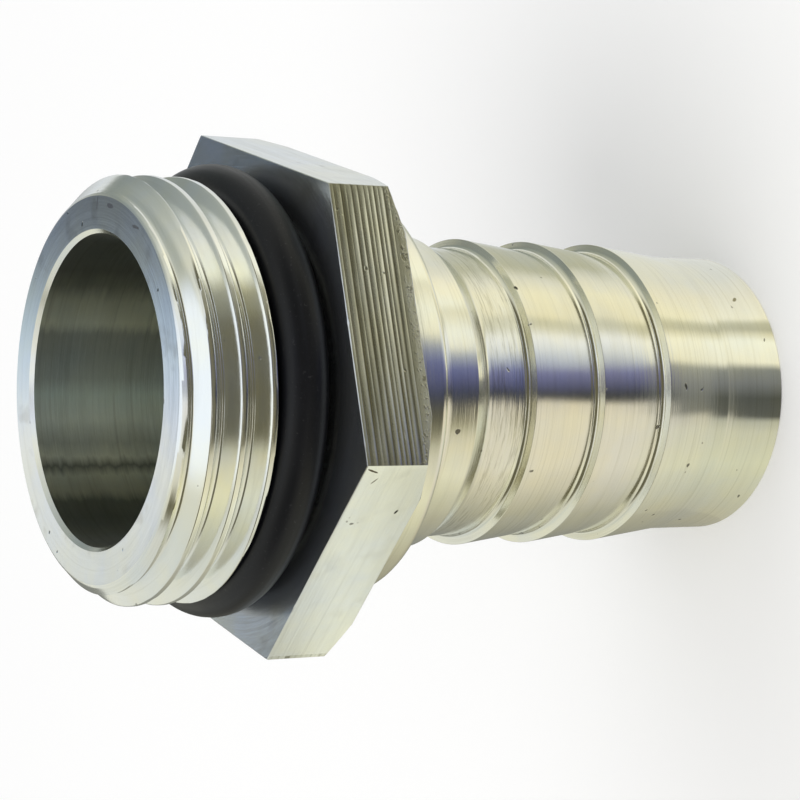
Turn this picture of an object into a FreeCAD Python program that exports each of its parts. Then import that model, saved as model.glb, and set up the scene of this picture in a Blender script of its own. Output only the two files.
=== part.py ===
import FreeCAD, Part
import math
import os

# Hose tail with a parallel metric thread, a hexagon and three hose barbs.
# It stands on its tail end: the axis is Z, the tail end lies in the plane Z = 0
# and the threaded end is on top. All sizes are in millimetres.

# Metric thread M27 x 2: 60 degree form, with crests and roots turned flat.
# Its crests lie inside the nominal diameter by the allowance of an outside thread.
thread_nominal_diameter = 27.0
thread_allowance = 0.3
thread_pitch = 2.0
thread_form_angle = 60.0
thread_depth = 0.56 * thread_pitch
thread_length = 5.97
thread_end_chamfer = 0.2
# The lead-in chamfer runs down this far past the root of the thread
thread_lead_in_margin = 0.2
thread_lead_in_angle = 45.0
# Distance from the free end down to a crest on the +X side, which sets where the thread starts
thread_crest_drop = 1.12

# Seal ring, and the gaps that it leaves beside it in its groove
ring_section = 3.13
ring_gap_to_hexagon = 0.48
ring_gap_to_thread = 0.13

# Hexagon: the spanner size less a little play
spanner_size = 30.0
spanner_play = 0.02
hexagon_length = 4.92
hexagon_chamfer_margin = 1.0
hexagon_chamfer_angle = 30.0

# Round collar under the hexagon, with a hollow round at its foot on the neck
collar_length = 3.18
collar_step = 2.85
collar_round = 0.65
collar_foot_round = 1.94

# Neck: a plain length under the collar, a shoulder, a short flare and a narrow waist
neck_length = 3.83
neck_shoulder_step = 0.68
neck_shoulder_round = 0.25
neck_flare_length = 1.24
neck_waist_step = 0.08
neck_waist_length = 3.23
neck_waist_round = 1.0

# Hose barbs, and the plain end that the hose is started on
barb_count = 3
barb_pitch = 5.37
barb_height = 0.68
barb_foot_round = 0.25
barb_step_lean = 0.2
plain_end_length = 4.67
plain_end_edge_break = 0.12

# Bores and walls: a wide bore from the threaded end, a narrower one through the tail
tail_bore_diameter = 16.3
tail_bore_chamfer = 0.25
tail_wall = 1.415
thread_wall = 2.56
thread_bore_depth = 11.24
thread_bore_chamfer = 0.25
ring_seat_wall = 1.475
bore_step_angle = 59.0

# Radii that follow from the sizes above
thread_radius = (thread_nominal_diameter - thread_allowance) / 2
thread_root_radius = thread_radius - thread_depth
thread_bore_radius = thread_root_radius - thread_wall
ring_seat_radius = thread_bore_radius + ring_seat_wall
tail_bore_radius = tail_bore_diameter / 2
plain_end_radius = tail_bore_radius + tail_wall
barb_crest_radius = plain_end_radius + barb_height
neck_waist_radius = plain_end_radius + neck_waist_step
neck_shoulder_radius = neck_waist_radius + neck_shoulder_step
collar_radius = neck_shoulder_radius + collar_step
hexagon_width = spanner_size - spanner_play
hexagon_chamfer_radius = hexagon_width / 2 + hexagon_chamfer_margin

# Heights that follow from the sizes above, from the tail end upwards
last_barb_height = plain_end_length + barb_count * barb_pitch
neck_waist_height = last_barb_height + neck_waist_length
neck_shoulder_height = neck_waist_height + neck_flare_length
collar_bottom = neck_shoulder_height + neck_length
hexagon_bottom = collar_bottom + collar_length
hexagon_top = hexagon_bottom + hexagon_length
ring_groove_top = hexagon_top + ring_gap_to_hexagon + ring_section + ring_gap_to_thread
total_length = ring_groove_top + thread_length

# Parts that are joined run this far into each other, and cuts run this far out
overlap = 1.0

up = FreeCAD.Vector(0, 0, 1)
origin = FreeCAD.Vector(0, 0, 0)


def rounded(before, corner, after, radius):
    """Start, middle and end of the arc that rounds a corner of a profile."""
    back = (before - corner).normalize()
    onward = (after - corner).normalize()
    half_angle = back.getAngle(onward) / 2
    reach = radius / math.tan(half_angle)
    inward = (back + onward).normalize()
    centre = corner + inward * (radius / math.sin(half_angle))
    return corner + back * reach, centre - inward * radius, corner + onward * reach


def profile(corners):
    """Face in the XZ plane from (radius, height, corner rounding) in order."""
    points = [FreeCAD.Vector(radius, 0, height) for radius, height, rounding in corners]
    edges = []
    first = points[0]
    here = first
    for number in range(1, len(corners)):
        rounding = corners[number][2]
        if rounding == 0:
            edges.append(Part.makeLine(here, points[number]))
            here = points[number]
            continue
        start, middle, end = rounded(points[number - 1], points[number], points[number + 1], rounding)
        edges.append(Part.makeLine(here, start))
        edges.append(Part.Arc(start, middle, end).toShape())
        here = end
    edges.append(Part.makeLine(here, first))
    return Part.Face(Part.Wire(edges))


def turned(corners):
    return profile(corners).revolve(origin, up, 360)


def barb_corners():
    """From below upwards each barb is a ramp, a sharp crest and a step that faces the hexagon."""
    corners = []
    for number in range(1, barb_count + 1):
        crest_height = plain_end_length + barb_pitch * number
        corners.append((barb_crest_radius, crest_height, 0))
        corners.append((plain_end_radius, crest_height + barb_step_lean, barb_foot_round))
    return corners


def neck_corners():
    """From below upwards: waist, shoulder, plain length and collar."""
    return [
        (neck_waist_radius, neck_waist_height, neck_waist_round),
        (neck_shoulder_radius, neck_shoulder_height, neck_shoulder_round),
        (neck_shoulder_radius, collar_bottom, collar_foot_round),
        (collar_radius, collar_bottom, collar_round),
    ]


def make_tail():
    """Plain end, barbs, neck and collar, up to a little way into the hexagon."""
    corners = [
        (0, 0, 0),
        (plain_end_radius - plain_end_edge_break, 0, 0),
        (plain_end_radius, plain_end_edge_break, 0),
        (plain_end_radius, plain_end_length, 0),
    ]
    corners += barb_corners()
    corners += neck_corners()
    corners += [
        (collar_radius, hexagon_bottom + overlap, 0),
        (0, hexagon_bottom + overlap, 0),
    ]
    return turned(corners)


def make_hexagon():
    """Hexagon with two flats across the X axis and chamfered corners on its lower side."""
    corner_radius = hexagon_width / math.sqrt(3)
    points = []
    for number in range(7):
        angle = math.radians(30 + 60 * number)
        across = corner_radius * math.cos(angle)
        along = corner_radius * math.sin(angle)
        points.append(FreeCAD.Vector(across, along, hexagon_bottom))
    prism = Part.Face(Part.makePolygon(points)).extrude(up * hexagon_length)
    outer_radius = corner_radius + overlap
    rise = (outer_radius - hexagon_chamfer_radius) * math.tan(math.radians(hexagon_chamfer_angle))
    envelope = turned([
        (0, hexagon_bottom, 0),
        (hexagon_chamfer_radius, hexagon_bottom, 0),
        (outer_radius, hexagon_bottom + rise, 0),
        (outer_radius, hexagon_top, 0),
        (0, hexagon_top, 0),
    ])
    return prism.common(envelope)


def make_thread_blank():
    """Seat of the seal ring and the plain blank that the thread is cut into."""
    lead_in_radius = thread_root_radius - thread_lead_in_margin
    lead_in_length = (thread_radius - lead_in_radius) / math.tan(math.radians(thread_lead_in_angle))
    return turned([
        (0, hexagon_top - overlap, 0),
        (ring_seat_radius, hexagon_top - overlap, 0),
        (ring_seat_radius, ring_groove_top, 0),
        (thread_radius - thread_end_chamfer, ring_groove_top, 0),
        (thread_radius, ring_groove_top + thread_end_chamfer, 0),
        (thread_radius, total_length - lead_in_length, 0),
        (lead_in_radius, total_length, 0),
        (0, total_length, 0),
    ])


def thread_groove_profile(middle_height):
    """Outline of the thread's groove, half a pitch wide at half its depth."""
    slope = math.tan(math.radians(thread_form_angle / 2))
    middle_radius = thread_radius - thread_depth / 2
    outer_radius = thread_radius + thread_depth / 10
    root_width = thread_pitch / 4 + (thread_root_radius - middle_radius) * slope
    outer_width = thread_pitch / 4 + (outer_radius - middle_radius) * slope
    corners = [
        FreeCAD.Vector(thread_root_radius, 0, middle_height - root_width),
        FreeCAD.Vector(thread_root_radius, 0, middle_height + root_width),
        FreeCAD.Vector(outer_radius, 0, middle_height + outer_width),
        FreeCAD.Vector(outer_radius, 0, middle_height - outer_width),
    ]
    return Part.makePolygon(corners + corners[:1])


def make_thread_cutter():
    """Right-handed groove that runs in over the free end and out over the ring's groove."""
    lowest_start = ring_groove_top - 2 * thread_pitch
    groove_height = total_length - thread_crest_drop + thread_pitch / 2
    turns = math.floor((groove_height - lowest_start) / thread_pitch)
    start_height = groove_height - turns * thread_pitch
    rise = total_length + 2 * thread_pitch - start_height
    helix = Part.makeHelix(thread_pitch, rise, thread_radius)
    helix.translate(up * start_height)
    groove = thread_groove_profile(start_height)
    return Part.Wire(helix.Edges).makePipeShell([groove], True, True)


def make_bore():
    """Wide bore from the threaded end, conical step, narrower bore through the tail."""
    wide_bottom = total_length - thread_bore_depth
    step_rise = (thread_bore_radius - tail_bore_radius) / math.tan(math.radians(bore_step_angle))
    return turned([
        (0, -overlap, 0),
        (tail_bore_radius + tail_bore_chamfer + overlap, -overlap, 0),
        (tail_bore_radius, tail_bore_chamfer, 0),
        (tail_bore_radius, wide_bottom - step_rise, 0),
        (thread_bore_radius, wide_bottom, 0),
        (thread_bore_radius, total_length - thread_bore_chamfer, 0),
        (thread_bore_radius + thread_bore_chamfer + overlap, total_length + overlap, 0),
        (0, total_length + overlap, 0),
    ])


def make_fitting_body():
    blank = make_thread_blank()
    threaded_end = blank.cut(make_thread_cutter())
    if threaded_end.Volume > 0.99 * blank.Volume:
        raise ValueError("the thread was not cut")
    body = make_tail().fuse([make_hexagon(), threaded_end])
    return body.removeSplitter().cut(make_bore())


def make_seal_ring():
    """Ring that sits on the bottom of its groove, a little way off the hexagon."""
    middle_radius = ring_seat_radius + ring_section / 2
    height = hexagon_top + ring_gap_to_hexagon + ring_section / 2
    return Part.makeTorus(middle_radius, ring_section / 2, up * height, up)


parts = {
    "fitting_body": make_fitting_body(),
    "o_ring": make_seal_ring(),
}

os.makedirs("parts", exist_ok=True)
for name, shape in parts.items():
    shape.exportStep("parts/" + name + ".step")
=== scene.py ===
import math

import bmesh
import bpy
from mathutils import Matrix, Vector, noise


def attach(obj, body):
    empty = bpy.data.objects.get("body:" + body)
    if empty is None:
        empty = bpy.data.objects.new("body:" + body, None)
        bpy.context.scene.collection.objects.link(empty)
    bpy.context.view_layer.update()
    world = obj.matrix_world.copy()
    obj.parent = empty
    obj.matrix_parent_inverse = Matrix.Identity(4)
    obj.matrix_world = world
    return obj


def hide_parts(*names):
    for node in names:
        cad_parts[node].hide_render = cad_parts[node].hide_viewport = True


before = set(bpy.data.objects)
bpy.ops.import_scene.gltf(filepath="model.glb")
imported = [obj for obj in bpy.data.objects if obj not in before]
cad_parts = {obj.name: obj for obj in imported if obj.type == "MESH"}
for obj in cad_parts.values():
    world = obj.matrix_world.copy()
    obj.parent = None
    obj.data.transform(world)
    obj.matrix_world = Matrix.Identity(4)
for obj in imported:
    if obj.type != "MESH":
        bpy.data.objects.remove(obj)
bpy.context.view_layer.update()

MM = 0.001

# Driving sizes in millimetres, as in the part's source
THREAD_RADIUS = 13.35
THREAD_PITCH = 2.0
THREAD_DEPTH = 1.12
THREAD_FLANK_ANGLE = 30
THREAD_LENGTH = 5.97
THREAD_END_CHAMFER = 0.2
THREAD_CREST_DROP = 1.12
LEAD_IN_MARGIN = 0.2
RING_SECTION = 3.13
RING_GAP_TO_HEXAGON = 0.48
RING_GAP_TO_THREAD = 0.13
HEX_WIDTH = 29.98
HEX_LENGTH = 4.92
HEX_CHAMFER_MARGIN = 1.0
HEX_CHAMFER_ANGLE = 30
COLLAR_LENGTH = 3.18
COLLAR_STEP = 2.85
NECK_LENGTH = 3.83
NECK_STEP = 0.68
FLARE_LENGTH = 1.24
WAIST_LENGTH = 3.23
WAIST_STEP = 0.08
BARB_COUNT = 3
BARB_PITCH = 5.37
BARB_HEIGHT = 0.68
BARB_STEP_LEAN = 0.2
PLAIN_END = 4.67
TAIL_BORE = 8.15
TAIL_WALL = 1.415
THREAD_WALL = 2.56
SEAT_WALL = 1.475
WIDE_BORE_DEPTH = 11.24
BORE_STEP_LENGTH = 0.91
BORE_CHAMFER = 0.25

# Radii that follow from them
THREAD_ROOT = THREAD_RADIUS - THREAD_DEPTH
LEAD_IN_RADIUS = THREAD_ROOT - LEAD_IN_MARGIN
WIDE_BORE = THREAD_ROOT - THREAD_WALL
SEAT_RADIUS = WIDE_BORE + SEAT_WALL
TAIL_RADIUS = TAIL_BORE + TAIL_WALL
BARB_RADIUS = TAIL_RADIUS + BARB_HEIGHT
WAIST_RADIUS = TAIL_RADIUS + WAIST_STEP
NECK_RADIUS = WAIST_RADIUS + NECK_STEP
COLLAR_RADIUS = NECK_RADIUS + COLLAR_STEP
HEX_HALF_WIDTH = HEX_WIDTH / 2
HEX_CHAMFER_RADIUS = HEX_HALF_WIDTH + HEX_CHAMFER_MARGIN
HEX_CHAMFER_SLOPE = math.tan(math.radians(HEX_CHAMFER_ANGLE))

# Heights that follow from them, from the tail end upwards
WAIST_TOP = PLAIN_END + BARB_COUNT * BARB_PITCH + WAIST_LENGTH
NECK_BOTTOM = WAIST_TOP + FLARE_LENGTH
COLLAR_BOTTOM = NECK_BOTTOM + NECK_LENGTH
HEX_BOTTOM = COLLAR_BOTTOM + COLLAR_LENGTH
HEX_TOP = HEX_BOTTOM + HEX_LENGTH
RING_HEIGHT = HEX_TOP + RING_GAP_TO_HEXAGON + RING_SECTION / 2
THREAD_BOTTOM = HEX_TOP + RING_GAP_TO_HEXAGON + RING_SECTION + RING_GAP_TO_THREAD
THREAD_TOP = THREAD_BOTTOM + THREAD_LENGTH
WIDE_BORE_BOTTOM = THREAD_TOP - WIDE_BORE_DEPTH
TAIL_BORE_TOP = WIDE_BORE_BOTTOM - BORE_STEP_LENGTH
# Height of a crest of the thread over the +X side
THREAD_CREST = THREAD_TOP - THREAD_CREST_DROP

# Small rounds and broken edges in millimetres, which the part's source leaves out
CREST_ROUND = 0.11
ROOT_ROUND = 0.26
CREST_WEAR_DEPTH = 0.09
RIM_BREAK = 0.07
HEX_CORNER_BREAK = 0.02
HEX_REAR_BREAK = 0.05
MOULD_LINE_HEIGHT = 0.015

# How finely the meshes are divided
COLUMNS = 360
THREAD_ARC_STEPS = 4
FLANK_STEPS = 5
DEGREES_PER_ARC_STEP = 8
SHARP_ANGLE = 24


def half_thread():
    """The thread's outline over half a pitch: distance from the middle of the crest, and radius."""
    slope = math.radians(THREAD_FLANK_ANGLE)
    sweep = math.pi / 2 - slope
    land = THREAD_PITCH / 4 - THREAD_DEPTH / 2 * math.tan(slope)
    reach = CREST_ROUND * math.tan(sweep / 2)
    points = [(0.0, THREAD_RADIUS)]
    for step in range(THREAD_ARC_STEPS + 1):
        turn = sweep * step / THREAD_ARC_STEPS
        points.append((land - reach + CREST_ROUND * math.sin(turn),
                       THREAD_RADIUS - CREST_ROUND + CREST_ROUND * math.cos(turn)))
    root = []
    for step in range(THREAD_ARC_STEPS + 1):
        turn = sweep * (1 - step / THREAD_ARC_STEPS)
        root.append((THREAD_PITCH / 2 - ROOT_ROUND * math.sin(turn),
                     THREAD_ROOT + ROOT_ROUND - ROOT_ROUND * math.cos(turn)))
    start, end = points[-1], root[0]
    for step in range(1, FLANK_STEPS):
        share = step / FLANK_STEPS
        points.append((start[0] + share * (end[0] - start[0]), start[1] + share * (end[1] - start[1])))
    return points + root


THREAD_HALF = half_thread()


def thread_form(height, turn):
    """Radius of the thread at a height, with turn as the share of a full circle from the +X side."""
    phase = (height - THREAD_CREST - THREAD_PITCH * turn) / THREAD_PITCH
    offset = abs(phase - round(phase)) * THREAD_PITCH
    for (w0, r0), (w1, r1) in zip(THREAD_HALF, THREAD_HALF[1:]):
        if offset <= w1:
            return r0 + (r1 - r0) * (offset - w0) / (w1 - w0)
    return THREAD_ROOT


def thread_limit(height):
    """Radius of the chamfers at the two ends of the thread, both at 45 degrees."""
    lead_in = LEAD_IN_RADIUS + THREAD_TOP - height
    lower_chamfer = THREAD_RADIUS - THREAD_END_CHAMFER + height - THREAD_BOTTOM
    return min(lead_in, lower_chamfer)


def round_axis(turn, reach, level):
    """Place for a noise that joins up round the axis. It changes faster with a larger reach."""
    angle = 2 * math.pi * turn
    return Vector((math.cos(angle) * reach, math.sin(angle) * reach, level))


def thread_radius(height, turn):
    """Radius of the thread. Its crest is a little uneven, with a few nicks."""
    radius = min(thread_form(height, turn), thread_limit(height))
    if radius > THREAD_RADIUS - CREST_WEAR_DEPTH:
        place = round_axis(turn, 9, height * 0.9)
        radius -= 0.012 * max(0, noise.noise(place * 2.3)) + 0.09 * max(0, noise.noise(place) - 0.42)
    return radius


def rounded_outline(corners):
    """Points along a profile of (radius, height, rounding), with an arc at each rounded corner."""
    points = []
    for number, (radius, height, rounding) in enumerate(corners):
        corner = Vector((radius, height))
        if rounding == 0:
            points.append(corner)
            continue
        back = (Vector(corners[number - 1][:2]) - corner).normalized()
        onward = (Vector(corners[number + 1][:2]) - corner).normalized()
        half = math.acos(max(-1, min(1, back.dot(onward)))) / 2
        inward = (back + onward).normalized()
        centre = corner + inward * (rounding / math.sin(half))
        start = corner + back * (rounding / math.tan(half)) - centre
        end = corner + onward * (rounding / math.tan(half)) - centre
        sweep = start.angle_signed(end)
        steps = max(3, round(abs(math.degrees(sweep)) / DEGREES_PER_ARC_STEP))
        for step in range(steps + 1):
            turn = -sweep * step / steps
            cosine, sine = math.cos(turn), math.sin(turn)
            points.append(centre + Vector((start.x * cosine - start.y * sine,
                                           start.x * sine + start.y * cosine)))
    return points


def outside_corners():
    """Profile from the tail end up to the hexagon, as (radius, height, rounding)."""
    corners = [
        (TAIL_BORE + BORE_CHAMFER, 0, 0),
        (TAIL_RADIUS, 0, 0.12),
        (TAIL_RADIUS, PLAIN_END, 1.2),
    ]
    for number in range(1, BARB_COUNT + 1):
        crest = PLAIN_END + BARB_PITCH * number
        corners.append((BARB_RADIUS, crest, 0.04))
        corners.append((TAIL_RADIUS, crest + BARB_STEP_LEAN, 0.42))
    corners += [
        (WAIST_RADIUS, WAIST_TOP, 1.0),
        (NECK_RADIUS, NECK_BOTTOM, 0.12),
        (NECK_RADIUS, COLLAR_BOTTOM, 1.94),
        (COLLAR_RADIUS, COLLAR_BOTTOM, 0.65),
        (COLLAR_RADIUS, HEX_BOTTOM, 0),
    ]
    return corners


# Milling marks across the hexagon's flats: height, half width and depth of each, in millimetres
MILL_MARKS = [(33.1, 0.05, 0.004), (33.45, 0.14, 0.014), (33.82, 0.05, 0.006), (34.12, 0.08, 0.018),
              (34.5, 0.05, 0.006), (34.82, 0.06, 0.009), (35.24, 0.1, 0.012), (35.66, 0.12, 0.015),
              (36.05, 0.05, 0.004), (36.42, 0.09, 0.013), (36.92, 0.06, 0.007)]
# Marks less deep than this get no painted shade
SHALLOW_MARK = 0.005
# How strongly each of the six flats shows the marks, counted from the +X side
MARKED_FLATS = [0.12, 0.8, 0.06, 0.5, 0.0, 1.0]


def mark_strength(turn):
    """MARKED_FLATS for the flat at a share of a full circle."""
    return MARKED_FLATS[round(turn * 6) % 6]


def hex_radius(turn, inset=0.0):
    """Distance from the axis to the hexagon's side, with slightly dulled corners."""
    angle = (turn * 360 + 30) % 60 - 30
    radius = (HEX_HALF_WIDTH - inset) / math.cos(math.radians(angle))
    return min(radius, HEX_HALF_WIDTH / math.cos(math.radians(30)) - HEX_CORNER_BREAK)


def mill_depth(height, turn):
    """Depth of the milling marks at a place on the hexagon's side."""
    depth = 0.0
    for number, (middle, half_width, deepest) in enumerate(MILL_MARKS):
        share = max(0.0, 1 - abs(height - middle) / half_width)
        fading = 0.75 + 0.6 * noise.noise(round_axis(turn, 4, number * 3.7))
        depth += deepest * share * mark_strength(turn) * fading
    return max(0.0, depth)


def edge_break(turn):
    """Width of the worn edge round the hexagon's front: it wanders, with a few nicks."""
    place = round_axis(turn, 12, 2.0)
    return 0.045 + 0.02 * noise.noise(place) + 0.16 * max(0, noise.noise(place * 3.1) - 0.4)


def flat_bottom(turn):
    """Height at which the chamfer under the hexagon meets its side, with a ragged edge."""
    ragged = (0.008 + 0.04 * mark_strength(turn)) * abs(noise.noise(round_axis(turn, 60, 1.0)))
    chamfer_rise = max(0, hex_radius(turn) - HEX_CHAMFER_RADIUS) * HEX_CHAMFER_SLOPE
    return HEX_BOTTOM + HEX_REAR_BREAK + ragged + chamfer_rise


def flat_heights():
    """Heights of the rings on the hexagon's side, five across each milling mark."""
    heights = set()
    for middle, half_width, deepest in MILL_MARKS:
        for step in (-1.0, -0.45, 0.0, 0.45, 1.0):
            heights.add(round(middle + step * half_width, 3))
    return sorted(heights)


def body_rows():
    """Rings of (radius, height) for each column, with the surface that starts at each ring."""
    rows = []

    def ring(surface, place):
        rows.append((surface, [place(column / COLUMNS) for column in range(COLUMNS)]))

    def round_ring(surface, radius, height):
        ring(surface, lambda turn: (radius, height))

    outline = rounded_outline(outside_corners())
    for radius, height in outline[:-1]:
        round_ring("turned", radius, height)
    round_ring("hex_rear", *outline[-1])
    ring("hex_chamfer", lambda turn: (min(hex_radius(turn) - HEX_REAR_BREAK, HEX_CHAMFER_RADIUS), HEX_BOTTOM))
    ring("flat", lambda turn: (hex_radius(turn), flat_bottom(turn)))
    for level in flat_heights():
        def side(turn):
            height = max(flat_bottom(turn), min(level, HEX_TOP - edge_break(turn)))
            return hex_radius(turn, mill_depth(height, turn)), height
        ring("flat", side)
    ring("edge", lambda turn: (hex_radius(turn), HEX_TOP - edge_break(turn)))
    ring("hex_front", lambda turn: (hex_radius(turn) - edge_break(turn), HEX_TOP))
    round_ring("seat", SEAT_RADIUS, HEX_TOP)
    round_ring("seat", SEAT_RADIUS, THREAD_BOTTOM)
    ring("thread", lambda turn: (thread_radius(THREAD_BOTTOM, turn), THREAD_BOTTOM))
    ring("edge", lambda turn: (thread_radius(THREAD_TOP - RIM_BREAK, turn), THREAD_TOP - RIM_BREAK))
    round_ring("end_face", LEAD_IN_RADIUS - RIM_BREAK, THREAD_TOP)
    round_ring("bore_edge", WIDE_BORE + BORE_CHAMFER, THREAD_TOP)
    round_ring("bore", WIDE_BORE, THREAD_TOP - BORE_CHAMFER)
    round_ring("bore", WIDE_BORE, WIDE_BORE_BOTTOM)
    round_ring("bore", TAIL_BORE, TAIL_BORE_TOP)
    round_ring("bore_edge", TAIL_BORE, BORE_CHAMFER)
    return rows


def thread_heights():
    """Heights of the thread's rows over the +X side, from a pitch under its lower end to its top."""
    over_pitch = [w for w, r in THREAD_HALF] + [THREAD_PITCH - w for w, r in reversed(THREAD_HALF[:-1])]
    over_pitch = sorted(set(round(w, 6) for w in over_pitch))[:-1]
    start = THREAD_CREST - THREAD_PITCH * 4
    heights = [start + THREAD_PITCH * turn + w for turn in range(6) for w in over_pitch]
    low, high = THREAD_BOTTOM - THREAD_PITCH, THREAD_TOP - RIM_BREAK
    return [low] + [height for height in heights if low < height < high] + [high]


SURFACES = ["turned", "hex_rear", "hex_chamfer", "flat", "edge", "hex_front", "seat", "thread",
            "end_face", "bore_edge", "bore"]


def at(radius, height, column):
    angle = 2 * math.pi * (column % COLUMNS) / COLUMNS
    return (radius * math.cos(angle) * MM, radius * math.sin(angle) * MM, height * MM)


def make_body(materials):
    """The fitting as one closed mesh, in columns round the axis. The thread's rows rise with its helix."""
    mesh = bmesh.new()
    rows = body_rows()
    rings = [[mesh.verts.new(at(r, h, c)) for c, (r, h) in enumerate(points)] for surface, points in rows]
    for number, (surface, points) in enumerate(rows):
        if surface == "thread":
            continue
        lower, upper = rings[number], rings[(number + 1) % len(rings)]
        for column in range(COLUMNS):
            after = (column + 1) % COLUMNS
            face = mesh.faces.new((lower[column], lower[after], upper[after], upper[column]))
            face.material_index = SURFACES.index(surface)
    first_heights = thread_heights()
    strips = []
    for column in range(COLUMNS + 1):
        turn = column / COLUMNS
        heights = [min(max(height + THREAD_PITCH * turn, THREAD_BOTTOM), THREAD_TOP - RIM_BREAK)
                   for height in first_heights]
        strips.append([mesh.verts.new(at(thread_radius(h, turn), h, column)) for h in heights])
    for column in range(COLUMNS):
        for row in range(len(first_heights) - 1):
            corners = (strips[column][row], strips[column + 1][row],
                       strips[column + 1][row + 1], strips[column][row + 1])
            face = mesh.faces.new(corners)
            face.material_index = SURFACES.index("thread")
    bmesh.ops.remove_doubles(mesh, verts=mesh.verts, dist=0.0008 * MM)
    bmesh.ops.dissolve_degenerate(mesh, edges=mesh.edges, dist=0.0005 * MM)
    bmesh.ops.recalc_face_normals(mesh, faces=mesh.faces)
    body = mesh_object("turned_body", mesh, materials)
    body.data.set_sharp_from_angle(angle=math.radians(SHARP_ANGLE))
    return body


def mesh_object(name, mesh, materials):
    data = bpy.data.meshes.new(name)
    for face in mesh.faces:
        face.smooth = True
    mesh.to_mesh(data)
    mesh.free()
    for material in materials:
        data.materials.append(material)
    thing = bpy.data.objects.new(name, data)
    bpy.context.scene.collection.objects.link(thing)
    return thing


def make_ring(material):
    """Seal ring with the faint mould line round its outside."""
    mesh = bmesh.new()
    around, across = 240, 64
    middle = SEAT_RADIUS + RING_SECTION / 2
    loops = []
    for step in range(around):
        angle = 2 * math.pi * step / around
        loop = []
        for side in range(across):
            turn = 2 * math.pi * side / across
            radius = RING_SECTION / 2
            if side in (1, across - 1):
                radius -= MOULD_LINE_HEIGHT
            along = middle + radius * math.cos(turn)
            loop.append(mesh.verts.new((along * math.cos(angle) * MM, along * math.sin(angle) * MM,
                                        (RING_HEIGHT + radius * math.sin(turn)) * MM)))
        loops.append(loop)
    for step in range(around):
        here, onward = loops[step], loops[(step + 1) % around]
        for side in range(across):
            after = (side + 1) % across
            mesh.faces.new((here[side], onward[side], onward[after], here[after]))
    bmesh.ops.recalc_face_normals(mesh, faces=mesh.faces)
    return mesh_object("seal_ring", mesh, [material])


def srgb(red, green, blue):
    def linear(value):
        value /= 255
        return value / 12.92 if value <= 0.04045 else ((value + 0.055) / 1.055) ** 2.4
    return linear(red), linear(green), linear(blue)


class Graph:
    """A few words for building a node tree."""

    def __init__(self, tree, clear=True):
        self.tree = tree
        if clear:
            tree.nodes.clear()

    def add(self, kind, inputs=(), **settings):
        node = self.tree.nodes.new(kind)
        for name, value in settings.items():
            setattr(node, name, value)
        for key, value in dict(inputs).items():
            socket = node.inputs[key]
            if isinstance(value, bpy.types.NodeSocket):
                self.tree.links.new(value, socket)
            else:
                socket.default_value = value
        return node

    def math(self, operation, first, second=0.0, third=0.0, clamp=False):
        return self.add("ShaderNodeMath", {0: first, 1: second, 2: third},
                        operation=operation, use_clamp=clamp).outputs[0]

    def product(self, first, second):
        return self.math("MULTIPLY", first, second)

    def shifted(self, noise_value, reach, value):
        """A value that a noise moves up and down by half of reach."""
        return self.math("MULTIPLY_ADD", self.math("SUBTRACT", noise_value, 0.5), reach, value)

    def from_axis(self, x, y):
        """Distance from the axis."""
        return self.math("SQRT", self.math("ADD", self.product(x, x), self.product(y, y)))

    def between(self, value, low, high):
        """0 at low, 1 at high, with a smooth change from one to the other."""
        return self.add("ShaderNodeMapRange", {"Value": value, "From Min": low, "From Max": high},
                        interpolation_type="SMOOTHSTEP").outputs[0]

    def band(self, value, start, full, fade, end):
        """1 from full to fade, 0 below start and above end."""
        return self.product(self.between(value, start, full), self.between(value, end, fade))

    def sector(self, angle, start, full, fade, end):
        """Band over an angle, from limits in degrees."""
        limits = [math.radians(degrees) for degrees in (start, full, fade, end)]
        return self.band(angle, *limits)

    def mix(self, share, first, second, blend="MIX"):
        node = self.add("ShaderNodeMix", data_type="RGBA", blend_type=blend)
        for socket, value in ((node.inputs[0], share), (node.inputs[6], first), (node.inputs[7], second)):
            if isinstance(value, bpy.types.NodeSocket):
                self.tree.links.new(value, socket)
            elif isinstance(value, (int, float)):
                socket.default_value = value
            else:
                socket.default_value = (*value, 1)
        return node.outputs[2]

    def ramp(self, value, stops, mode="LINEAR"):
        node = self.add("ShaderNodeValToRGB", {0: value})
        elements = node.color_ramp.elements
        node.color_ramp.interpolation = mode
        while len(elements) > 1:
            elements.remove(elements[-1])
        elements[0].position, elements[0].color = stops[0][0], (*stops[0][1], 1)
        for place, colour in stops[1:]:
            elements.new(place).color = (*colour, 1)
        return node.outputs[0]

    def by_azimuth(self, angle, stops):
        """Colour by the angle round the axis, from (degrees, colour) stops between -180 and 180."""
        share = self.math("MULTIPLY_ADD", angle, 0.5 / math.pi, 0.5)
        return self.ramp(share, [(degrees / 360 + 0.5, srgb(*colour)) for degrees, colour in stops])

    def noise(self, vector, scale, detail=2.0, roughness=0.5):
        return self.add("ShaderNodeTexNoise", {"Vector": vector, "Scale": scale, "Detail": detail,
                                               "Roughness": roughness}).outputs[0]

    def stretched(self, vector, scale):
        return self.add("ShaderNodeVectorMath", {0: vector, 1: scale}, operation="MULTIPLY").outputs[0]

    def bump(self, height, depth):
        """Normal for a height in shares of a depth in millimetres."""
        return self.add("ShaderNodeBump", {
            "Strength": 1.0, "Distance": depth * MM, "Height": height}).outputs[0]

    def reflected(self):
        """1 for the rays that gloss or glass sends out, 0 for all others."""
        path = self.add("ShaderNodeLightPath").outputs
        return self.math("MAXIMUM", path["Is Glossy Ray"], path["Is Transmission Ray"])


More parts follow.
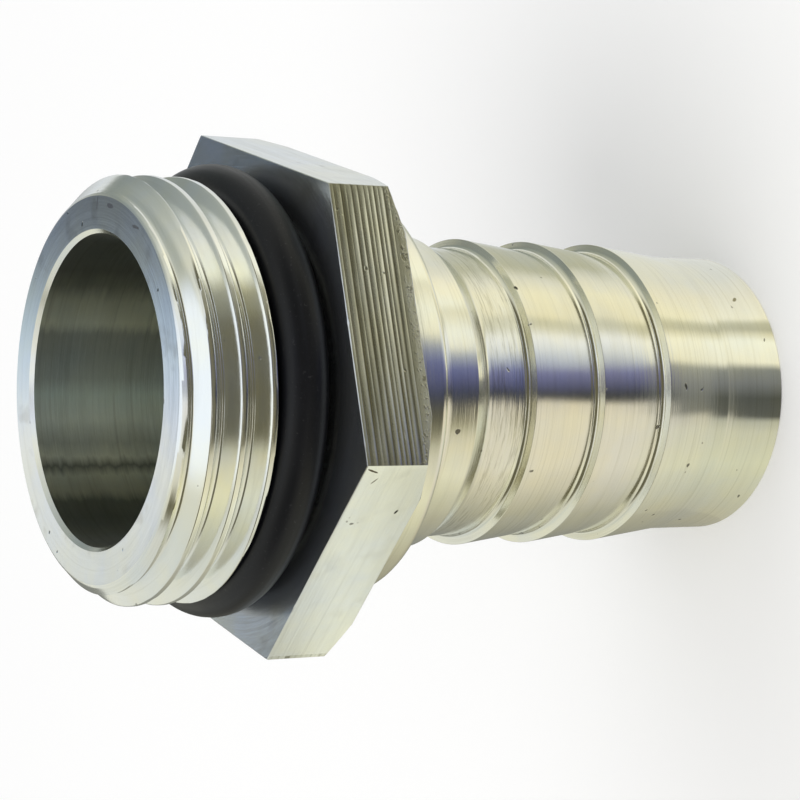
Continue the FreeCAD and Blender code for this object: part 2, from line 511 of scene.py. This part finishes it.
class SteelGraph(Graph):
    """Node tree of a steel surface, with the places and noises that its colour and bump share.

    marks is the spacing of its tool marks in millimetres. grain is round for marks that run round
    the axis on a turned side, face for rings on a face.
    """

    def __init__(self, tree, marks, grain):
        super().__init__(tree)
        self.place = self.add("ShaderNodeTexCoord").outputs["Object"]
        self.x, self.y, self.z = self.add("ShaderNodeSeparateXYZ", {0: self.place}).outputs
        self.radial = self.from_axis(self.x, self.y)
        self.across = self.radial if grain == "face" else self.z
        self.fine = self.along(marks, 16.0)
        self.short = self.along(marks * 1.6, 2.4)
        self.wide = self.along(marks * 6, 9.0)
        self.cloud = self.noise(self.place, 150.0, 4.0, 0.6)

    def along(self, spacing, reach):
        """Noise drawn out round the axis: spacing across the marks and reach along them."""
        where = self.add("ShaderNodeCombineXYZ", {
            0: self.product(self.x, 1 / (reach * MM)),
            1: self.product(self.y, 1 / (reach * MM)),
            2: self.product(self.across, 1 / (spacing * MM))}).outputs[0]
        return self.noise(where, 1.0, 3.0, 0.6)

    def plating(self, tint, tone_change, streaks):
        """Colour of the plating: cooler in clouds, darker along the tool marks."""
        cool = [tint[0] * 0.93, tint[1] * 0.97, min(1.0, tint[2] * 1.14)]
        colour = self.mix(self.between(self.cloud, 0.3, 0.7), tint, cool)
        colour = self.mix(self.product(self.between(self.wide, 0.45, 0.7), tone_change), colour,
                          [c * 0.55 for c in tint])
        streak = self.product(self.between(self.fine, 0.5, 0.75), tone_change * 1.4 + streaks * 0.35)
        return self.mix(streak, colour, [c * 0.6 for c in tint])

    def tool_marks(self, streaks):
        """Height of the fine tool marks that cover the whole surface."""
        height = self.math("MULTIPLY_ADD", self.short, 0.7 + streaks, self.fine)
        height = self.math("MULTIPLY_ADD", self.noise(self.place, 2600.0, 2.0, 0.5), 0.12, height)
        return self.math("MULTIPLY_ADD", self.wide, 1.5, height)

    def stain(self, colour, strength):
        """Dull blots."""
        blot = self.between(self.noise(self.place, 420.0, 2.0, 0.5), 0.58, 0.72)
        return self.mix(self.product(blot, strength), colour, srgb(150, 146, 140))

    def pit(self, colour, height, strength):
        """Small dark pits, here and there."""
        pits = self.between(self.noise(self.place, 1300.0, 1.0, 0.4), 0.77, 0.8)
        colour = self.mix(self.product(pits, strength), colour, srgb(70, 66, 58))
        return colour, self.math("MULTIPLY_ADD", pits, -5.0, height)

    def shade(self, colour, shades):
        """Painted light and shade: tones by the angle round the axis."""
        angle = self.shifted(self.short, 0.1, self.math("ARCTAN2", self.y, self.x))
        return self.mix(1.0, colour, self.by_azimuth(angle, shades), "MULTIPLY")

    def score(self, colour, height, low, high):
        """Rough tool marks between two heights."""
        scoring = self.band(self.z, (low - 0.1) * MM, (low + 0.2) * MM, (high - 0.3) * MM, high * MM)
        scratch = self.product(scoring, self.between(self.along(0.16, 2.2), 0.5, 0.62))
        colour = self.mix(self.product(scratch, 0.3), colour, srgb(150, 148, 124))
        return colour, self.math("MULTIPLY_ADD", self.product(scoring, self.along(0.26, 5.0)), 2.6, height)

    def flat_strength(self):
        """MARKED_FLATS for the flat that a point lies on."""
        share = self.math("MULTIPLY_ADD", self.math("ARCTAN2", self.y, self.x), 0.5 / math.pi, 0.5)
        stops = []
        for number in range(7):
            tone = MARKED_FLATS[(number + 3) % 6]
            stops.append((max(0.0, (number - 0.5) / 6), (tone, tone, tone)))
        return self.ramp(share, stops, "CONSTANT")

    def painted_shade_in_marks(self):
        """Painted shade in the deeper milling marks, darkest in the middle of each."""
        hex_length = HEX_TOP - HEX_BOTTOM
        wander = self.shifted(self.cloud, 0.04 * MM, self.z)
        share = self.product(self.math("SUBTRACT", wander, HEX_BOTTOM * MM), 1 / (hex_length * MM))
        stops = [(0.0, (0, 0, 0))]
        for middle, half_width, deepest in MILL_MARKS:
            if deepest < SHALLOW_MARK:
                continue
            most = min(1.0, deepest * 50)
            for height, tone in ((middle - half_width, 0.0), (middle, most), (middle + half_width, 0.0)):
                stops.append(((height - HEX_BOTTOM) / hex_length, (tone, tone, tone)))
        return self.ramp(share, stops)

    def mill(self, colour, height):
        """Coarse milling on the marked flats: duller, with painted shade in the marks and flecks near the
        rear edge.
        """
        coarse = self.flat_strength()
        colour = self.mix(self.product(coarse, 0.45), colour, srgb(204, 203, 178))
        patch = self.product(coarse, self.between(self.wide, 0.42, 0.66))
        colour = self.mix(self.product(patch, 0.6), colour, srgb(176, 174, 150))
        colour = self.mix(self.product(self.painted_shade_in_marks(), coarse), colour, srgb(112, 108, 86))
        beyond = self.math("MAXIMUM", self.math("SUBTRACT", self.radial, HEX_CHAMFER_RADIUS * MM), 0.0)
        over_chamfer = self.math("MULTIPLY_ADD", beyond, -HEX_CHAMFER_SLOPE,
                                 self.math("SUBTRACT", self.z, HEX_BOTTOM * MM))
        near_edge = self.between(over_chamfer, 0.7 * MM, 0.1 * MM)
        flecks = self.product(near_edge, self.between(self.noise(self.place, 4200.0, 3.0, 0.6), 0.52, 0.62))
        flecks = self.product(flecks, coarse)
        colour = self.mix(self.product(flecks, 0.45), colour, srgb(140, 136, 116))
        return colour, self.math("MULTIPLY_ADD", flecks, 7.0, height)


def steel(name, tint, roughness, marks, depth, grain="round", tone_change=0.1, streaks=0.0,
          stains=0.0, specks=0.0, milled=False, scored=None, shades=None, metallic=1.0):
    """Zinc plated steel. marks is the spacing of its tool marks and depth their depth, in millimetres.

    scored is the stretch of height with rough tool marks, shades are painted light and shade as tones by the
    angle round the axis.
    """
    material = bpy.data.materials.new(name)
    material.use_nodes = True
    graph = SteelGraph(material.node_tree, marks, grain)
    colour = graph.plating(tint, tone_change, streaks)
    height = graph.tool_marks(streaks)
    if stains:
        colour = graph.stain(colour, stains)
    if specks:
        colour, height = graph.pit(colour, height, specks)
    if shades:
        colour = graph.shade(colour, shades)
    if scored:
        colour, height = graph.score(colour, height, *scored)
    if milled:
        colour, height = graph.mill(colour, height)
    rough = graph.math("MULTIPLY_ADD", graph.cloud, 0.1, roughness - 0.05)
    rough = graph.math("MULTIPLY_ADD", graph.short, 0.12, graph.math("SUBTRACT", rough, 0.06), clamp=True)
    shader = graph.add("ShaderNodeBsdfPrincipled", {
        "Base Color": colour, "Metallic": metallic, "Roughness": rough, "Normal": graph.bump(height, depth)})
    graph.add("ShaderNodeOutputMaterial", {0: shader.outputs[0]})
    return material


def marked(material, marks):
    """Small dents and scratches: centre and half sizes along X, Y and Z in millimetres, turn, colour."""
    graph = Graph(material.node_tree, clear=False)
    shader = next(node for node in material.node_tree.nodes if node.type == "BSDF_PRINCIPLED")
    place = graph.add("ShaderNodeTexCoord").outputs["Object"]
    uneven = graph.noise(place, 2400.0)
    colour = shader.inputs["Base Color"].links[0].from_socket
    for centre, size, turn, tint in marks:
        shift = [-c * MM for c in centre]
        moved = graph.add("ShaderNodeVectorMath", {0: place, 1: shift}, operation="ADD").outputs[0]
        turned = graph.add("ShaderNodeVectorRotate", {"Vector": moved, "Angle": math.radians(turn)},
                           rotation_type="Y_AXIS").outputs[0]
        scaled = graph.stretched(turned, [1 / (half * MM) for half in size])
        distance = graph.add("ShaderNodeVectorMath", {0: scaled}, operation="LENGTH").outputs["Value"]
        distance = graph.math("MULTIPLY_ADD", uneven, 1.2, distance)
        colour = graph.mix(graph.between(distance, 1.7, 1.3), colour, srgb(*tint))
    material.node_tree.links.new(colour, shader.inputs["Base Color"])


def rubber():
    """Nitrile rubber, smooth and black, with a little dust."""
    material = bpy.data.materials.new("nitrile_rubber")
    material.use_nodes = True
    graph = Graph(material.node_tree)
    place = graph.add("ShaderNodeTexCoord").outputs["Object"]
    cloud = graph.noise(place, 260.0, 4.0, 0.6)
    fine = graph.noise(place, 5200.0, 2.0, 0.5)
    scuff = graph.noise(graph.stretched(place, (160, 160, 5000)), 1.0, 3.0, 0.6)
    colour = graph.mix(cloud, (0.004, 0.0045, 0.006), (0.008, 0.0085, 0.012))
    dust = graph.product(graph.between(fine, 0.64, 0.76), 0.35)
    colour = graph.mix(dust, colour, (0.05, 0.05, 0.052))
    rough = graph.math("MULTIPLY_ADD", cloud, 0.16, 0.3)
    rough = graph.math("MULTIPLY_ADD", scuff, 0.14, graph.math("SUBTRACT", rough, 0.07))
    height = graph.math("MULTIPLY_ADD", scuff, 0.8, fine)
    shader = graph.add("ShaderNodeBsdfPrincipled", {
        "Base Color": colour, "Roughness": rough, "Specular IOR Level": 0.3,
        "Normal": graph.bump(height, 0.004)})
    graph.add("ShaderNodeOutputMaterial", {0: shader.outputs[0]})
    return material


WARM = srgb(249, 246, 226)
PALE = srgb(248, 248, 238)
GREY = srgb(222, 225, 222)
THREAD_TINT = srgb(252, 251, 238)
BORE_TINT = srgb(253, 253, 247)

# Painted light and shade in the bore, by the angle round the axis
BORE_PAINTED_LIGHT_AND_SHADE = [
    (-180, (190, 190, 188)), (-120, (244, 244, 242)), (-60, (250, 250, 248)), (0, (232, 232, 230)),
    (30, (150, 150, 148)), (52, (146, 146, 142)), (60, (176, 176, 166)), (68, (244, 244, 226)),
    (78, (255, 255, 234)), (82, (190, 192, 184)), (90, (184, 188, 184)), (100, (198, 204, 200)),
    (106, (230, 240, 234)), (116, (248, 252, 242)), (125, (214, 216, 204)), (131, (255, 255, 236)),
    (135, (160, 160, 146)), (139, (255, 255, 232)), (147, (236, 234, 210)), (152, (150, 152, 140)),
    (162, (140, 142, 134)), (180, (190, 190, 188))]

steels = {
    "turned": steel("turned_zinc", WARM, roughness=0.15, marks=0.14, depth=0.004, streaks=0.5, specks=0.8,
                    scored=(21.0, 23.9)),
    "hex_rear": steel("rear_face_zinc", WARM, roughness=0.28, marks=0.2, depth=0.006, grain="face"),
    "hex_chamfer": steel("chamfer_zinc", GREY, roughness=0.3, marks=0.2, depth=0.01, stains=0.5),
    "flat": steel("milled_flat_zinc", PALE, roughness=0.2, marks=0.16, depth=0.0022, stains=0.1,
                  specks=0.7, milled=True),
    "edge": steel("worn_edge_zinc", PALE, roughness=0.22, marks=0.3, depth=0.004),
    "hex_front": steel("front_face_zinc", GREY, roughness=0.2, marks=0.16, depth=0.004, grain="face",
                       stains=0.2, metallic=0.97),
    "seat": steel("seat_zinc", WARM, roughness=0.25, marks=0.2, depth=0.004),
    "thread": steel("thread_zinc", THREAD_TINT, roughness=0.14, marks=0.16, depth=0.0025,
                    tone_change=0.12, specks=0.6),
    "end_face": steel("end_face_zinc", GREY, roughness=0.1, marks=0.22, depth=0.002, grain="face",
                      stains=0.3, specks=0.8),
    "bore_edge": steel("bore_edge_zinc", PALE, roughness=0.2, marks=0.2, depth=0.003),
    "bore": steel("bore_zinc", BORE_TINT, roughness=0.38, marks=0.25, depth=0.01, tone_change=0.2,
                  streaks=0.5, shades=BORE_PAINTED_LIGHT_AND_SHADE),
}

marked(steels["flat"], [
    ((-3.45, -15.32, 33.55), (0.16, 0.4, 0.09), -30, (52, 50, 42)),
    ((-0.35, -17.1, 36.7), (0.07, 0.5, 0.5), -20, (96, 88, 70)),
    ((-1.1, -16.7, 36.2), (0.05, 0.4, 0.3), 50, (110, 102, 84)),
    ((1.6, -16.4, 34.4), (0.3, 0.4, 0.1), 10, (236, 236, 226)),
])
marked(steels["turned"], [
    ((3.28, -9.84, 28.5), (0.05, 0.6, 0.35), 0, (250, 250, 250)),
    ((8.4, -5.78, 20.7), (0.12, 0.3, 0.12), 0, (70, 68, 60)),
    ((7.95, -5.32, 2.2), (0.1, 0.3, 0.3), 30, (150, 146, 124)),
])
marked(steels["end_face"], [
    ((7.95, -7.35, 46.89), (0.12, 0.1, 0.3), 0, (60, 60, 56)),
    ((11.45, 0.4, 46.89), (0.16, 0.5, 0.3), 0, (176, 174, 178)),
    ((11.3, 2.3, 46.89), (0.5, 0.06, 0.3), 0, (176, 174, 178)),
    ((10.9, -3.4, 46.89), (0.12, 0.5, 0.3), 0, (168, 166, 168)),
])

body = make_body([steels[name] for name in SURFACES])
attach(body, "root")
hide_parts("fitting_body")

ring = make_ring(rubber())
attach(ring, "root")
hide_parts("o_ring")


# Angle of the side that faces the camera, and how far out on that side the floor's painted reflections have
# their middle
CAMERA_SIDE = math.radians(-75.5)
PATTERN_MIDDLE = 5.5 * MM

# Painted reflections on the floor, by the angle round that middle, one table for each part of the fitting
# that shows them. All share what lies behind the part.
BEHIND = [
    (22, (226, 226, 216)), (80, (222, 226, 228)), (100, (150, 152, 148)), (120, (128, 130, 124)),
    (150, (150, 150, 138)), (180, (178, 176, 160))]
SEEN_BY_PLAIN_END = [
    (-180, (186, 184, 166)), (-137, (214, 216, 196)), (-112, (206, 206, 188)), (-102, (186, 186, 170)),
    (-97, (94, 95, 88)), (-80, (84, 86, 80)), (-66, (124, 126, 124)), (-54, (140, 142, 134)),
    (-48, (250, 246, 220)), (-30, (255, 255, 236)), (-24, (228, 224, 196)), (-20, (190, 188, 164)),
    (-15, (200, 198, 172)), (-11, (250, 246, 222)), (8, (238, 234, 214))]
SEEN_BY_FIRST_BARB = [
    (-180, (186, 184, 166)), (-137, (220, 220, 200)), (-108, (216, 214, 196)), (-98, (206, 202, 186)),
    (-92, (128, 128, 118)), (-80, (124, 125, 118)), (-66, (140, 141, 136)), (-54, (160, 161, 150)),
    (-48, (244, 240, 214)), (-30, (255, 252, 228)), (-24, (226, 222, 194)), (-20, (196, 194, 170)),
    (-15, (204, 202, 176)), (-11, (246, 242, 216)), (8, (238, 234, 214))]
SEEN_BY_BARBS = [
    (-180, (178, 176, 160)), (-160, (206, 202, 186)), (-137, (228, 222, 204)), (-100, (228, 222, 204)),
    (-85, (222, 214, 196)), (-81, (66, 68, 66)), (-77, (60, 62, 66)), (-70, (92, 94, 124)),
    (-58, (122, 124, 164)), (-50, (184, 190, 204)), (-42, (222, 226, 228)), (-30, (250, 250, 244)),
    (-23, (214, 211, 186)), (-17, (204, 202, 178)), (-13, (240, 234, 204)), (8, (244, 240, 216)),
    (34, (186, 187, 168)), (64, (190, 192, 180))]
SEEN_BY_NECK = [
    (-180, (178, 176, 160)), (-160, (200, 200, 182)), (-137, (232, 230, 206)), (-116, (220, 215, 190)),
    (-106, (196, 192, 168)), (-99, (140, 137, 115)), (-90, (92, 91, 80)), (-84, (80, 80, 80)),
    (-77, (66, 70, 88)), (-70, (84, 88, 126)), (-58, (104, 110, 156)), (-50, (160, 166, 178)),
    (-42, (250, 246, 220)), (-30, (255, 255, 236)), (-19, (246, 242, 216)), (-13, (224, 222, 200)),
    (-10, (255, 255, 236)), (8, (250, 246, 226))]


def painted_floor_reflections(graph):
    """Painted reflections on the floor, which only reflected rays see: pale with a dark gap in front and grey
    behind.
    """
    position = graph.add("ShaderNodeNewGeometry").outputs["Position"]
    x, y, z = graph.add("ShaderNodeSeparateXYZ", {0: position}).outputs
    radius = graph.from_axis(x, y)
    angle = graph.math("ARCTAN2", graph.math("SUBTRACT", y, PATTERN_MIDDLE * math.sin(CAMERA_SIDE)),
                       graph.math("SUBTRACT", x, PATTERN_MIDDLE * math.cos(CAMERA_SIDE)))
    angle = graph.shifted(graph.noise(position, 90.0, 2.0, 0.5), 0.2, angle)
    spokes = graph.add("ShaderNodeCombineXYZ", {
        0: graph.product(radius, 1 / (0.8 * MM)), 1: graph.product(angle, 1.5)}).outputs[0]
    ragged = graph.shifted(graph.noise(spokes, 1.0, 3.0, 0.6), 0.3, angle)

    def beyond(start, full):
        """0 nearer to the axis than start, 1 from full outwards, in millimetres."""
        return graph.between(radius, start * MM, full * MM)

    seen = graph.mix(beyond(14, 15.2), graph.by_azimuth(angle, SEEN_BY_PLAIN_END + BEHIND),
                     graph.by_azimuth(angle, SEEN_BY_FIRST_BARB + BEHIND))
    seen = graph.mix(beyond(18.6, 20), seen, graph.by_azimuth(ragged, SEEN_BY_BARBS + BEHIND))
    seen = graph.mix(beyond(40, 44), seen, graph.by_azimuth(ragged, SEEN_BY_NECK + BEHIND))
    from_side = graph.math("COSINE", graph.math("ADD", angle, math.radians(165)))
    side = graph.product(graph.band(radius, 62 * MM, 66 * MM, 77 * MM, 80 * MM),
                         graph.between(from_side, 0.8, 0.9))
    seen = graph.mix(side, seen, srgb(240, 242, 226))
    olive = graph.product(beyond(62, 66), graph.sector(angle, -78, -66, -22, -10))
    seen = graph.mix(olive, seen, srgb(150, 148, 127))
    dark = graph.product(beyond(76, 79), graph.sector(angle, -112, -98, -40, -24))
    seen = graph.mix(dark, seen, graph.mix(beyond(85, 91), srgb(22, 30, 44), srgb(112, 108, 88)))
    return graph.mix(beyond(8.0, 9.4), srgb(255, 255, 244), seen)


def floor_material():
    """White and matt, with painted reflections in it that only the metal sees."""
    material = bpy.data.materials.new("pale_floor")
    material.use_nodes = True
    graph = Graph(material.node_tree)
    mirror = graph.add("ShaderNodeEmission", {"Color": painted_floor_reflections(graph), "Strength": 1.0}).outputs[0]
    matte = graph.add("ShaderNodeBsdfDiffuse", {"Color": (1.0, 1.0, 1.0, 1)}).outputs[0]
    mixed = graph.add("ShaderNodeMixShader", {0: graph.reflected(), 1: matte, 2: mirror}).outputs[0]
    graph.add("ShaderNodeOutputMaterial", {0: mixed})
    return material


def make_floor():
    """Round floor, a hair under the tail end so that the two faces don't coincide."""
    mesh = bmesh.new()
    bmesh.ops.create_circle(mesh, cap_ends=True, segments=64, radius=3.0)
    floor = mesh_object("floor", mesh, [floor_material()])
    floor.location.z = -0.02 * MM


# The tent round the part, by the angle round the axis
TENT = [
    (-180, (214, 214, 202)), (-110, (230, 228, 214)), (-84, (236, 232, 222)), (-78, (84, 86, 92)),
    (-58, (126, 126, 162)), (-42, (214, 222, 236)), (-10, (240, 240, 226)), (38, (176, 180, 170)),
    (70, (132, 140, 138)), (79, (150, 154, 148)), (86, (200, 202, 192)), (92, (184, 186, 178)),
    (96.5, (100, 104, 106)), (100.2, (116, 122, 126)), (101.8, (160, 170, 174)), (103.4, (222, 240, 250)),
    (105.5, (255, 255, 250)), (110, (240, 240, 226)), (132, (226, 226, 212)), (160, (210, 214, 208)),
    (180, (214, 214, 202))]


def seen_in_tent(graph):
    """What the metal sees round it: a pale tent with dark cards in front and behind, and a white top."""
    direction = graph.add("ShaderNodeTexCoord").outputs["Generated"]
    x, y, z = graph.add("ShaderNodeSeparateXYZ", {0: direction}).outputs
    angle = graph.math("ARCTAN2", y, x)

    def above(low, high):
        """0 below the first height over the horizon, 1 above the second, in degrees."""
        return graph.between(z, math.sin(math.radians(low)), math.sin(math.radians(high)))

    seen = graph.by_azimuth(angle, TENT)
    cards = [
        (graph.sector(angle, -175, -160, -10, 10), graph.math("SUBTRACT", above(4, 10), above(47, 53)),
         (100, 97, 76)),
        (graph.sector(angle, 72, 88, 107.5, 109.5), above(27.2, 28.8), (56, 60, 64)),
        (graph.sector(angle, 108, 110, 120, 128), above(25.8, 27.2), (64, 68, 70)),
        (graph.sector(angle, 99, 103.5, 108, 112), above(31, 35), (150, 206, 255)),
    ]
    for across, up, colour in cards:
        seen = graph.mix(graph.product(across, up), seen, srgb(*colour))
    return graph.mix(graph.between(z, 0.86, 0.95), seen, srgb(250, 255, 255))


def make_world():
    """White to the camera and a soft grey light on all matt surfaces. Metal sees the tent."""
    world = bpy.data.worlds.new("studio")
    bpy.context.scene.world = world
    world.use_nodes = True
    graph = Graph(world.node_tree)
    to_camera = graph.add("ShaderNodeLightPath").outputs["Is Camera Ray"]
    plain = graph.mix(to_camera, (0.62, 0.62, 0.62), (1.0, 1.0, 1.0))
    colour = graph.mix(graph.reflected(), plain, seen_in_tent(graph))
    background = graph.add("ShaderNodeBackground", {"Color": colour, "Strength": 1.0}).outputs[0]
    graph.add("ShaderNodeOutputWorld", {0: background})


def area_lamp(name, place, watts, colour):
    """Round soft lamp that points at the middle of the part and doesn't show in the metal."""
    aim = Vector((0, 0, 0.03))
    data = bpy.data.lights.new(name, "AREA")
    data.shape = "DISK"
    data.size = 0.7
    data.energy = watts
    data.color = colour
    lamp = bpy.data.objects.new(name, data)
    lamp.location = place
    lamp.rotation_euler = (aim - Vector(place)).to_track_quat("-Z", "Y").to_euler()
    lamp.visible_glossy = False
    bpy.context.scene.collection.objects.link(lamp)


def make_camera():
    """The photograph's view: the part's axis runs from left to right, so the camera is rolled."""
    right = Vector((0.13826, -0.50543, -0.85172))
    up = Vector((0.96522, 0.26143, 0.00155))
    back = right.cross(up)
    matrix = Matrix((right, up, back)).transposed().to_4x4()
    matrix.translation = Vector((35.240, -132.744, 109.200)) * MM
    turn = Matrix.Rotation(math.radians(-0.43), 4, "Z")
    focal_length_in_pixels, image_width = 2434.1, 800
    data = bpy.data.cameras.new("photo_view")
    data.sensor_width = 36
    data.lens = focal_length_in_pixels / image_width * 36
    data.clip_start = 0.01
    data.clip_end = 20
    camera = bpy.data.objects.new("photo_view", data)
    camera.matrix_world = turn @ matrix
    bpy.context.scene.collection.objects.link(camera)
    bpy.context.scene.camera = camera


make_floor()
make_world()
area_lamp("key", place=(-0.25, -0.3, 0.7), watts=2.4, colour=(1.0, 0.99, 0.97))
area_lamp("fill", place=(0.5, 0.3, 0.6), watts=1.4, colour=(0.96, 0.98, 1.0))
make_camera()

scene = bpy.context.scene
scene.view_settings.view_transform = "Standard"
